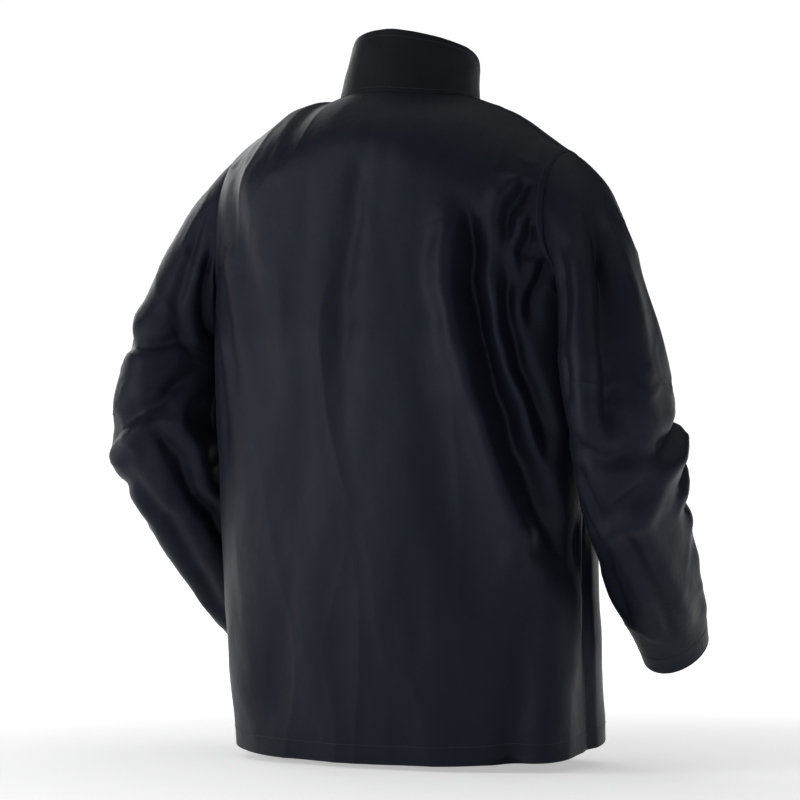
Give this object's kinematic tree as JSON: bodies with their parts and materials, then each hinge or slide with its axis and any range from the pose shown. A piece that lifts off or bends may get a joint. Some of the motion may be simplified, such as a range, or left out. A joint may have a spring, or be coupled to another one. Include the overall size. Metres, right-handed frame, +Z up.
{
  "type": "welding jacket",
  "caption": "Hip-length flame-resistant cotton welding jacket with a stand collar, a snap-closed overlapping front, set-in sleeves and snap-tab cuffs.",
  "frame": {"origin": "on the body's centre line at the level of the back collar seam, in the middle of the neck opening, where the jacket is carried on a body form or a wearer's shoulders", "axes": "+Z up along the jacket's length, -Y out of the front, +X towards the wearer's left"},
  "size_m": [0.7729, 0.3386, 0.8659],
  "materials": {
    "outer_cloth": "dark navy cotton sateen, flame-resistant",
    "collar_cloth": "dark navy cotton sateen, flame-resistant",
    "inner_cloth": "matt reverse side of the same cotton",
    "tape": "woven cotton tape",
    "label": "woven label, blank",
    "snap_dark": "blackened brass",
    "snap_bright": "plated"
  },
  "bodies": {
    "jacket_body": {"back_panel": "outer_cloth", "left_front_side": "outer_cloth", "right_front_side": "outer_cloth", "left_front_fold": "outer_cloth", "right_front_fold": "outer_cloth", "collar_back_outer": "collar_cloth", "collar_back_inner": "inner_cloth", "neck_tape": "tape", "hanger_loop": "tape", "size_label": "label", "left_sleeve_cap": "outer_cloth", "right_sleeve_cap": "outer_cloth"},
    "left_front": {"left_front_edge": "outer_cloth", "left_facing": "inner_cloth", "collar_left_outer": "collar_cloth", "collar_left_inner": "inner_cloth", "inside_pocket": "inner_cloth", "front_snap_caps": "snap_dark", "front_snap_sockets": "snap_bright", "collar_snap_cap": "snap_dark", "collar_snap_socket": "snap_bright"},
    "right_front": {"right_front_edge": "outer_cloth", "right_facing": "inner_cloth", "collar_right_outer": "collar_cloth", "collar_right_inner": "inner_cloth", "front_snap_studs": "snap_bright", "front_snap_backs": "snap_dark", "collar_snap_stud": "snap_bright", "collar_snap_back": "snap_dark"},
    "left_upper_arm": {"left_sleeve_upper": "outer_cloth", "left_sleeve_elbow": "outer_cloth"},
    "left_forearm": {"left_sleeve_fore": "outer_cloth", "left_cuff_band": "inner_cloth", "left_cuff_stud": "snap_bright"},
    "left_tab": {"left_cuff_tab": "outer_cloth", "left_tab_snap": "snap_dark"},
    "right_upper_arm": {"right_sleeve_upper": "outer_cloth", "right_sleeve_elbow": "outer_cloth"},
    "right_forearm": {"right_sleeve_fore": "outer_cloth", "right_cuff_band": "inner_cloth", "right_cuff_stud": "snap_bright"},
    "right_tab": {"right_cuff_tab": "outer_cloth", "right_tab_snap": "snap_dark"}
  },
  "joints": [
    {"name": "left_front_open", "type": "hinge", "parent": "jacket_body", "child": "left_front", "pos_m": [0.1325, -0.0875, -0.385], "axis": [-0.147, 0.0959, 0.9845], "range_deg": [0, 50], "deforming": ["left_front_fold"]},
    {"name": "right_front_open", "type": "hinge", "parent": "jacket_body", "child": "right_front", "pos_m": [-0.1325, -0.0875, -0.385], "axis": [0.147, 0.0959, 0.9845], "range_deg": [-50, 0], "deforming": ["right_front_fold"]},
    {"name": "left_shoulder_raise", "type": "hinge", "parent": "jacket_body", "child": "left_upper_arm", "pos_m": [0.308, 0.02, -0.25], "axis": [0, -1, 0], "range_deg": [0, 35], "deforming": ["left_sleeve_cap"]},
    {"name": "left_elbow_bend", "type": "hinge", "parent": "left_upper_arm", "child": "left_forearm", "pos_m": [0.336, 0.05, -0.42], "axis": [-1, 0, 0], "range_deg": [-40, 32], "deforming": ["left_sleeve_elbow"]},
    {"name": "left_tab_open", "type": "hinge", "parent": "left_forearm", "child": "left_tab", "pos_m": [0.28901, -0.15532, -0.61409], "axis": [0.1322, 0.5004, 0.8557], "range_deg": [0, 100]},
    {"name": "right_shoulder_raise", "type": "hinge", "parent": "jacket_body", "child": "right_upper_arm", "pos_m": [-0.308, 0.02, -0.25], "axis": [0, 1, 0], "range_deg": [0, 35], "deforming": ["right_sleeve_cap"]},
    {"name": "right_elbow_bend", "type": "hinge", "parent": "right_upper_arm", "child": "right_forearm", "pos_m": [-0.318, 0.06, -0.42], "axis": [-1, 0, 0], "range_deg": [-40, 32], "deforming": ["right_sleeve_elbow"]},
    {"name": "right_tab_open", "type": "hinge", "parent": "right_forearm", "child": "right_tab", "pos_m": [-0.28613, -0.15249, -0.61383], "axis": [0.0799, -0.534, -0.8417], "range_deg": [0, 100]}
  ],
  "couplings": [
    {"joint": "right_front_open", "follows": "left_front_open", "ratio": -1}
  ]
}
